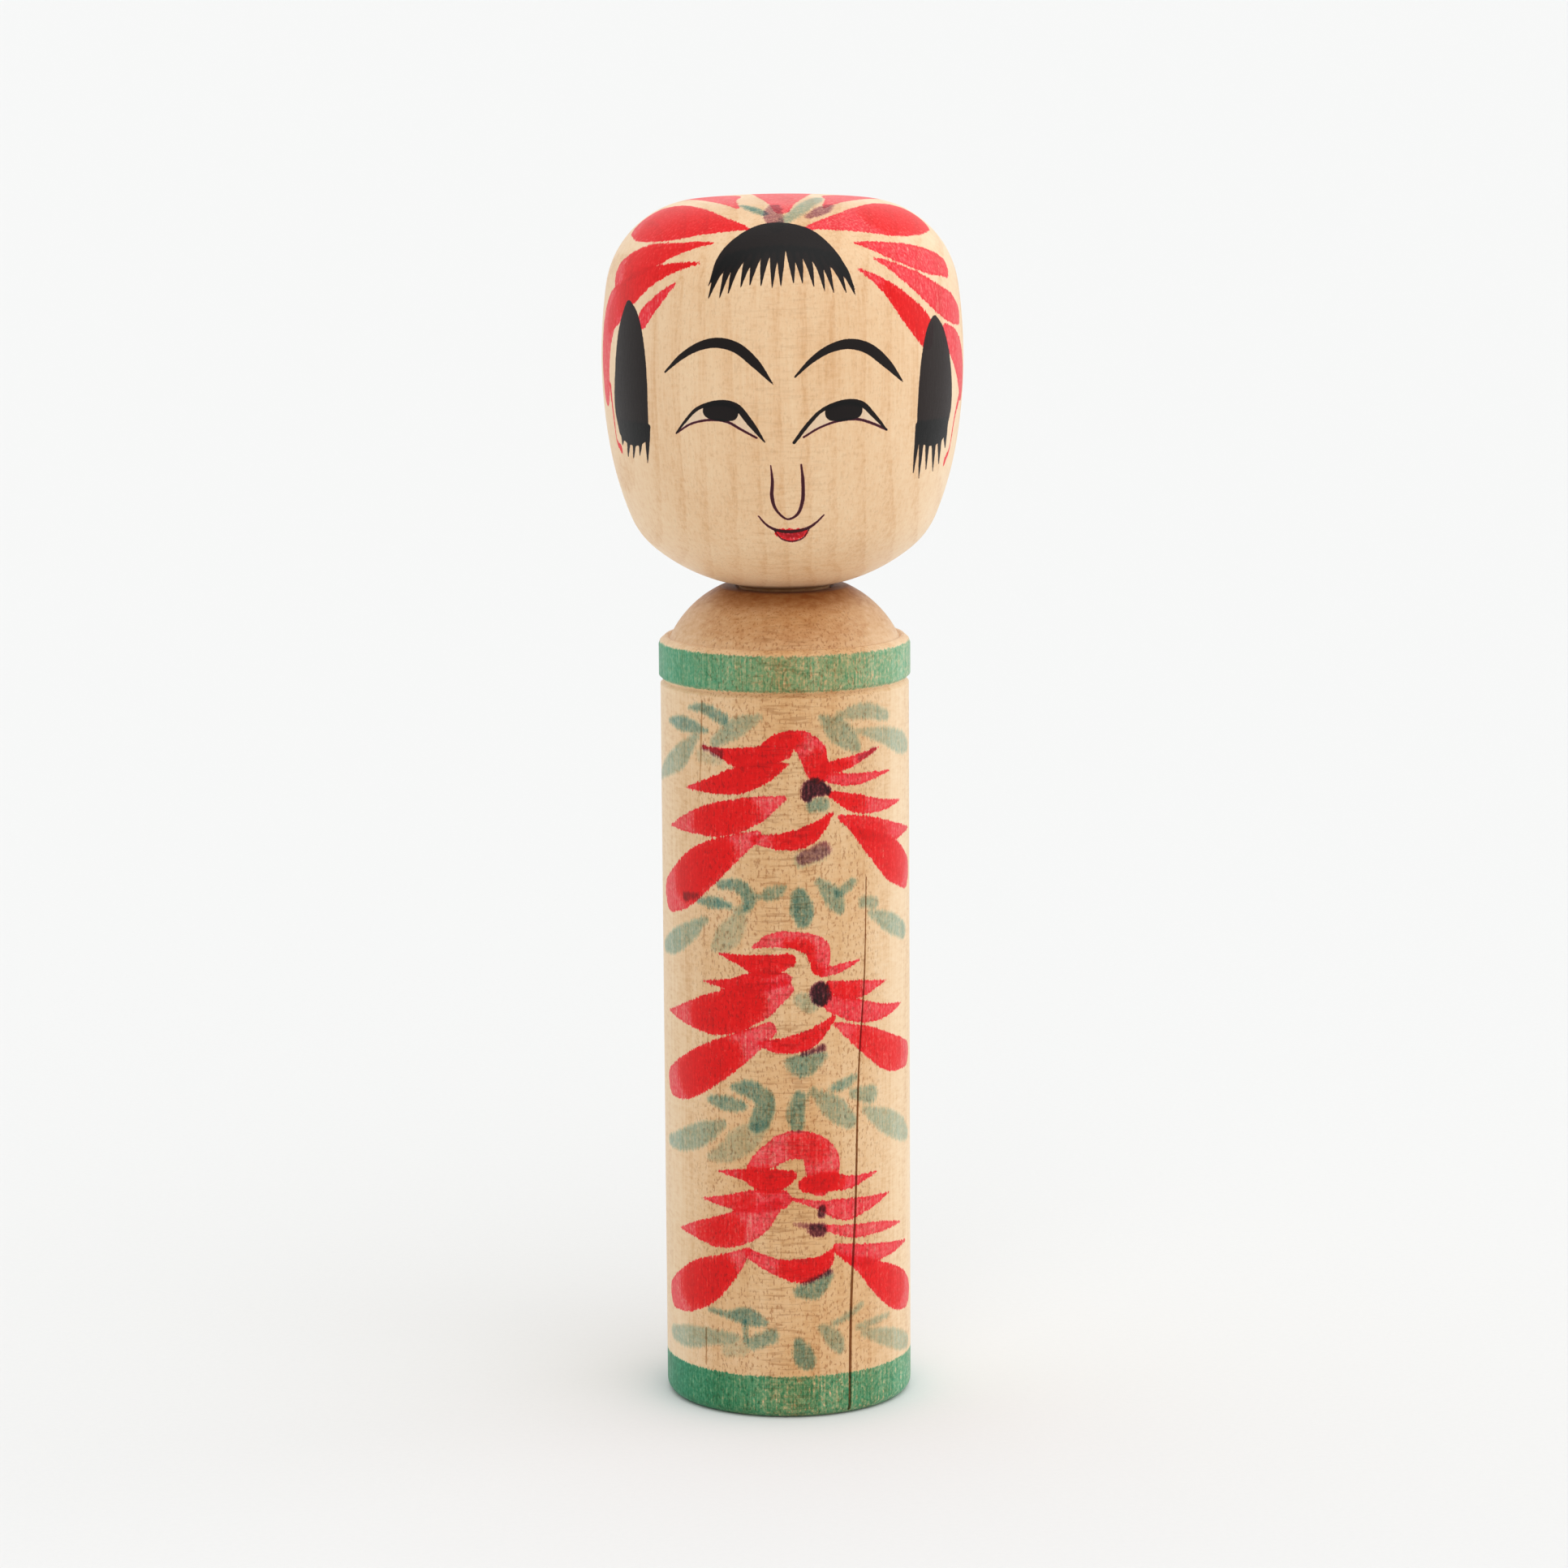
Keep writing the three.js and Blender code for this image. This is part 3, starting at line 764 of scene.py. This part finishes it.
# How far the grain pulls each dye's edge about, and how soft that edge is, in millimetres.
EDGES = {
    "wash": (1.2, 0.15),
    "wet": (3.4, 1.4),
    "leaf": (1.7, 0.55),
    "plum": (1.5, 0.4),
    "ink": (0.16, 0.07),
    "line": (0.16, 0.08),
    "check": (0.12, 0.1),
    "white": (0.1, 0.08),
}
GREEN_BAND = (2.4, 0.68, 0.86)
EYE_WHITE = (0.78, 0.71, 0.62, 1)
# Painted shade with some patina: the brown laid on the shoulder under the head.
SHOULDER_SHADE_AND_PATINA = (0.76, 0.62, 0.50, 1)
# Painted shade: the dark brown laid round the seam where the head sits on the body.
NECK_SEAM_SHADE = (0.52, 0.33, 0.18, 1)
# Painted shade colour for the front, which is made darker than the sides.
FRONT_SHADE_TINT = (0.77, 0.60, 0.42, 1)
PORE_BROWN = (0.36, 0.15, 0.05, 1)
RAY_BROWN = (0.43, 0.23, 0.10, 1)
PITH = (-80, -22)
RING_PITCH = 5.0


def painted_wood(name, dyes, pale, middle, deep, figure, lines, front_shade_strength, neck_seam_shade_span,
                 shoulder=None, green_bands=()):
    """Waxed pale wood with its grain along Z, and dyes laid on it by depth and load."""
    material, start, shader = new_material(name)
    place = start.node("ShaderNodeTexCoord", output=3)
    spot = start.node("ShaderNodeVectorMath", {"operation": "SCALE"},
                      {0: place, "Scale": 1000.0})
    x, y, z = (start.node("ShaderNodeSeparateXYZ", None, {0: spot}, output=axis)
               for axis in range(3))
    radius = (x * x + y * y).maths("SQRT")

    # Wood: growth rings about a pith outside the piece, fibres, curl, flecks, and painted shade
    # under the head and at the neck seam, the shoulder's partly patina.
    fibre = spot.grain((1.5, 1.5, 0.05), 4.0, 0.6) - 0.5
    thread = spot.grain((5.5, 5.5, 0.35), 3.0, 0.6) - 0.5
    curl = spot.grain((0.5, 0.5, 1.25), 3.0, 0.6) - 0.5
    cloud = spot.grain((0.07, 0.07, 0.03), 2.0) - 0.5
    wander = spot.grain((0.05, 0.05, 0.006), 2.0)
    from_pith = ((x - PITH[0]) * (x - PITH[0]) + (y - PITH[1]) * (y - PITH[1])).maths("SQRT")
    ring = (from_pith / RING_PITCH + wander * 1.4).maths("FRACT")
    late_wood = ring.rise(0.4, 0.92) * (1 - ring.rise(0.92, 1.0))
    shade = (0.4 + fibre * 1.0 + thread * 0.5 + late_wood * lines
             + curl * (0.55 + 0.75 * figure) + cloud * 0.6)
    wood = shade.ramp((0.0, pale), (0.5, middle), (1.0, deep))
    sideways = (x / (radius + 1)).maths("ABSOLUTE")
    facing = y / (radius + 1) * -1.0
    # Painted shade under the head, partly patina: the shoulder is darkened brown from these
    # heights up.
    if shoulder:
        shade_and_patina = z.rise(*shoulder) * (0.9 + curl * 0.8)
        wood = wood.mix(shade_and_patina, SHOULDER_SHADE_AND_PATINA, "MULTIPLY")
    # Painted shade at the neck: a darker band either side of the seam, on the body's dome and
    # under the head's chin.
    height, reach = neck_seam_shade_span
    neck_seam_shade = 1 - (z - height).maths("ABSOLUTE").rise(0.2, reach)
    wood = wood.mix(neck_seam_shade * (0.85 + curl * 0.6), NECK_SEAM_SHADE, "MULTIPLY")
    pepper = spot.grain((2.4, 2.4, 1.1), 2.0).rise(0.55, 0.66)
    pepper = pepper * (1 - sideways.rise(0.55, 0.85)) * facing.rise(0.0, 0.3) * figure
    ray = spot.grain((0.2, 0.5, 1.7), 2.0, 0.6).rise(0.5, 0.66)
    ray = ray * (1 - sideways.rise(0.12, 0.4)) * facing.rise(0.0, 0.3) * figure
    wood = wood.mix(pepper * 0.55, PORE_BROWN)
    wood = wood.mix(ray * 0.5, RAY_BROWN)

    # Dyes: the grain frays each edge, and each load is mottled and streaked.
    fray = spot.grain((2.3, 2.3, 0.22), 3.0, 0.65) - 0.5
    fret = spot.grain((3.4, 3.4, 2.6), 2.0) - 0.5
    mottle = spot.grain((1.9, 1.9, 1.3), 3.0, 0.65) - 0.5
    streak = spot.grain((2.8, 2.8, 0.14), 2.0) - 0.5
    patchy = 1 + mottle * 2.1 + streak * 1.5
    density = [0.0, 0.0, 0.0]
    for dye in dyes:
        depth = start.attribute(dye + "_depth")
        pull, softness = EDGES[dye]
        edge = depth + (fray + fret * 0.45) * pull
        cover = edge.rise(-softness, softness)
        if dye == "white":
            wood = wood.mix(cover * 0.45, EYE_WHITE)
            continue
        if dye == "wash":
            washed = cover
        elif dye == "wet":
            cover = cover * washed
        amount = cover * start.attribute(dye + "_load")
        if dye == "wash":
            amount = amount * patchy * (1.0 + 0.35 * (1 - edge.rise(0.0, 0.55)))
        elif dye in ("wet", "leaf", "plum"):
            amount = amount * patchy
        density = [total + amount * loss for total, loss in zip(density, DYES[dye])]
    outside = radius.rise(20.0, 21.0)
    for low, high, load in green_bands:
        level = z + (fray * 1.5 + fret * 0.5)
        cover = level.band(low - 0.15, high + 0.15, 0.3) * outside
        # Painted shade on the green bands: more dye towards the sides and towards -X, less
        # towards +X; the streak and mottle are the dye's own unevenness.
        uneven_and_shaded = 0.64 + sideways * 0.6 + streak * 1.8 + mottle * 2.6 - x * 0.016
        amount = cover * load * uneven_and_shaded
        density = [total + amount * loss for total, loss in zip(density, GREEN_BAND)]
    light_left = [(total * -1.0).maths("EXPONENT") for total in density]
    stain = start.node("ShaderNodeCombineColor", None, dict(enumerate(light_left)))
    colour = wood.mix(1.0, stain, "MULTIPLY")

    # Painted shade: the front is made darker than the sides, less so under the red dye.
    front_shade = facing.rise(0.3, 1.0) * (0.85 + cloud * 0.9) * (1 - washed * 0.85) * front_shade_strength
    colour = colour.mix(front_shade, FRONT_SHADE_TINT, "MULTIPLY")

    # Wax over it all: a satin gloss, with tool marks and open fibres under it.
    gloss = 0.45 + thread * 0.22 + cloud * 0.12 + mottle * 0.12
    tool_marks = spot.grain((0.05, 0.05, 3.2), 2.0)
    relief = thread * 0.6 + fibre * 0.3 + tool_marks * 0.25 - pepper * 0.5
    bump = start.node("ShaderNodeBump", None,
                      {"Strength": 0.35, "Distance": 0.0001, "Height": relief})
    tree = material.node_tree
    tree.links.new(colour.end, shader.inputs["Base Color"])
    tree.links.new(gloss.end, shader.inputs["Roughness"])
    tree.links.new(bump.end, shader.inputs["Normal"])
    shader.inputs["Coat Weight"].default_value = 0.04
    shader.inputs["Coat Roughness"].default_value = 0.3
    shader.inputs["Specular IOR Level"].default_value = 0.2
    shader.inputs["Sheen Weight"].default_value = 0.03
    shader.inputs["Sheen Roughness"].default_value = 0.35
    return material


def floor_finish():
    """A matt, very pale board with a faint tooth."""
    material, start, shader = new_material("pale floor")
    place = start.node("ShaderNodeTexCoord", output=3)
    tooth = place.grain((900, 900, 900), 2.0)
    tone = tooth.ramp((0.3, (0.77, 0.775, 0.77)), (0.7, (0.78, 0.785, 0.78)))
    tree = material.node_tree
    tree.links.new(tone.end, shader.inputs["Base Color"])
    shader.inputs["Roughness"].default_value = 0.9
    shader.inputs["Specular IOR Level"].default_value = 0.1
    return material


# ---- The doll ----------------------------------------------------------------------------

body_shape = turn_on_the_lathe(body_outline(), front_steps=116, back_steps=40)
refine_near_marks(body_shape, BODY_MARKS, body_charts, finest=(0.45,))
refine_near_marks(body_shape, BODY_CHECKS[:1], body_charts, finest=(0.24, 0.16))
body = finish_piece(
    "turned_body", body_shape, BODY_MARKS, body_charts,
    shares=((0, 22, 26, 168, 192, 200, 230), (0.005, 0.05, 0.07, 0.86, 0.965, 0.975, 0.995)),
    material=painted_wood(
        "painted body wood", ("wash", "wet", "leaf", "plum", "check"),
        pale=(0.88, 0.69, 0.47), middle=(0.83, 0.605, 0.375), deep=(0.69, 0.435, 0.23),
        figure=1.0, lines=0.16, front_shade_strength=1.0, neck_seam_shade_span=(163.2, 4.2),
        shoulder=(151.5, 156.5),
        green_bands=((-1.0, 8.6, 0.95), (RING_BOTTOM, RING_TOP + 0.1, 0.58)),
    ),
)

head_shape = turn_on_the_lathe(head_outline(), front_steps=140, back_steps=56)
refine_near_marks(head_shape, HEAD_MARKS, head_charts, finest=(0.5, 0.33))
refine_near_marks(head_shape, EYES + NOSE_AND_MOUTH, head_charts, finest=(0.2,))
head = finish_piece(
    "turned_head", head_shape, HEAD_MARKS, head_charts,
    shares=((0, 25, 160), (0.005, 0.06, 0.995)),
    material=painted_wood(
        "painted head wood", ("wash", "wet", "leaf", "plum", "white", "ink", "line"),
        pale=(0.92, 0.72, 0.49), middle=(0.88, 0.64, 0.41), deep=(0.76, 0.48, 0.26),
        figure=0.25, lines=0.24, front_shade_strength=0.55, neck_seam_shade_span=(SEAT_HEIGHT + SEAT_GAP, 1.6),
    ),
)

for piece, node in ((body, "body"), (head, "head")):
    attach(piece, node)
    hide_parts(node)

# ---- Floor, light and camera -------------------------------------------------------------

floor_shape = bmesh.new()
bmesh.ops.create_circle(floor_shape, cap_ends=True, segments=96, radius=60.0)
floor_mesh = bpy.data.meshes.new("floor")
floor_shape.to_mesh(floor_mesh)
floor_shape.free()
floor_mesh.materials.append(floor_finish())
floor = bpy.data.objects.new("floor", floor_mesh)
bpy.context.scene.collection.objects.link(floor)


def light_tent(bright, dim):
    """A tent of even white light, dimmer towards its open front, seen as plain white."""
    world = bpy.data.worlds.new("light tent")
    world.use_nodes = True
    tree = world.node_tree
    start = Value(tree, None)
    way = start.node("ShaderNodeTexCoord", output=0)
    back = start.node("ShaderNodeSeparateXYZ", None, {0: way}, output=1)
    seen = start.node("ShaderNodeLightPath", output=0)
    lit = back.rise(-0.8, 0.3) * (bright - dim) + dim
    strength = lit * (1 - seen) + seen * bright
    background = tree.nodes["Background"]
    background.inputs["Color"].default_value = (1, 1, 1, 1)
    tree.links.new(strength.end, background.inputs["Strength"])
    bpy.context.scene.world = world


def soft_sun(name, turn, climb, strength, spread):
    """Broad daylight from a turn round the doll and a climb above the floor, in degrees."""
    lamp = bpy.data.lights.new(name, "SUN")
    lamp.energy = strength
    lamp.angle = math.radians(spread)
    light = bpy.data.objects.new(name, lamp)
    light.matrix_world = (
        Matrix.Rotation(math.radians(turn), 4, "Z")
        @ Matrix.Rotation(math.radians(90 - climb), 4, "X")
    )
    bpy.context.scene.collection.objects.link(light)


light_tent(bright=0.93, dim=0.55)
soft_sun("key light", turn=25, climb=45, strength=1.15, spread=70)
soft_sun("side light", turn=100, climb=22, strength=0.4, spread=50)
soft_sun("top light", turn=0, climb=88, strength=0.32, spread=90)

CAMERA_PLACE = (-0.27 * MM, -982.4 * MM, 288.2 * MM)
CAMERA_DIP = 9.52
CAMERA_ROLL = -0.38

camera = bpy.data.cameras.new("camera")
camera.lens = 115.0
camera.sensor_width = 36.0
viewpoint = bpy.data.objects.new("camera", camera)
viewpoint.matrix_world = (
    Matrix.Translation(CAMERA_PLACE)
    @ Matrix.Rotation(math.radians(90 - CAMERA_DIP), 4, "X")
    @ Matrix.Rotation(math.radians(CAMERA_ROLL), 4, "Z")
)
bpy.context.scene.collection.objects.link(viewpoint)
bpy.context.scene.camera = viewpoint
bpy.context.scene.view_settings.view_transform = "Standard"

# ---- Scene update ------------------------------------------------------------------------

bpy.context.view_layer.update()
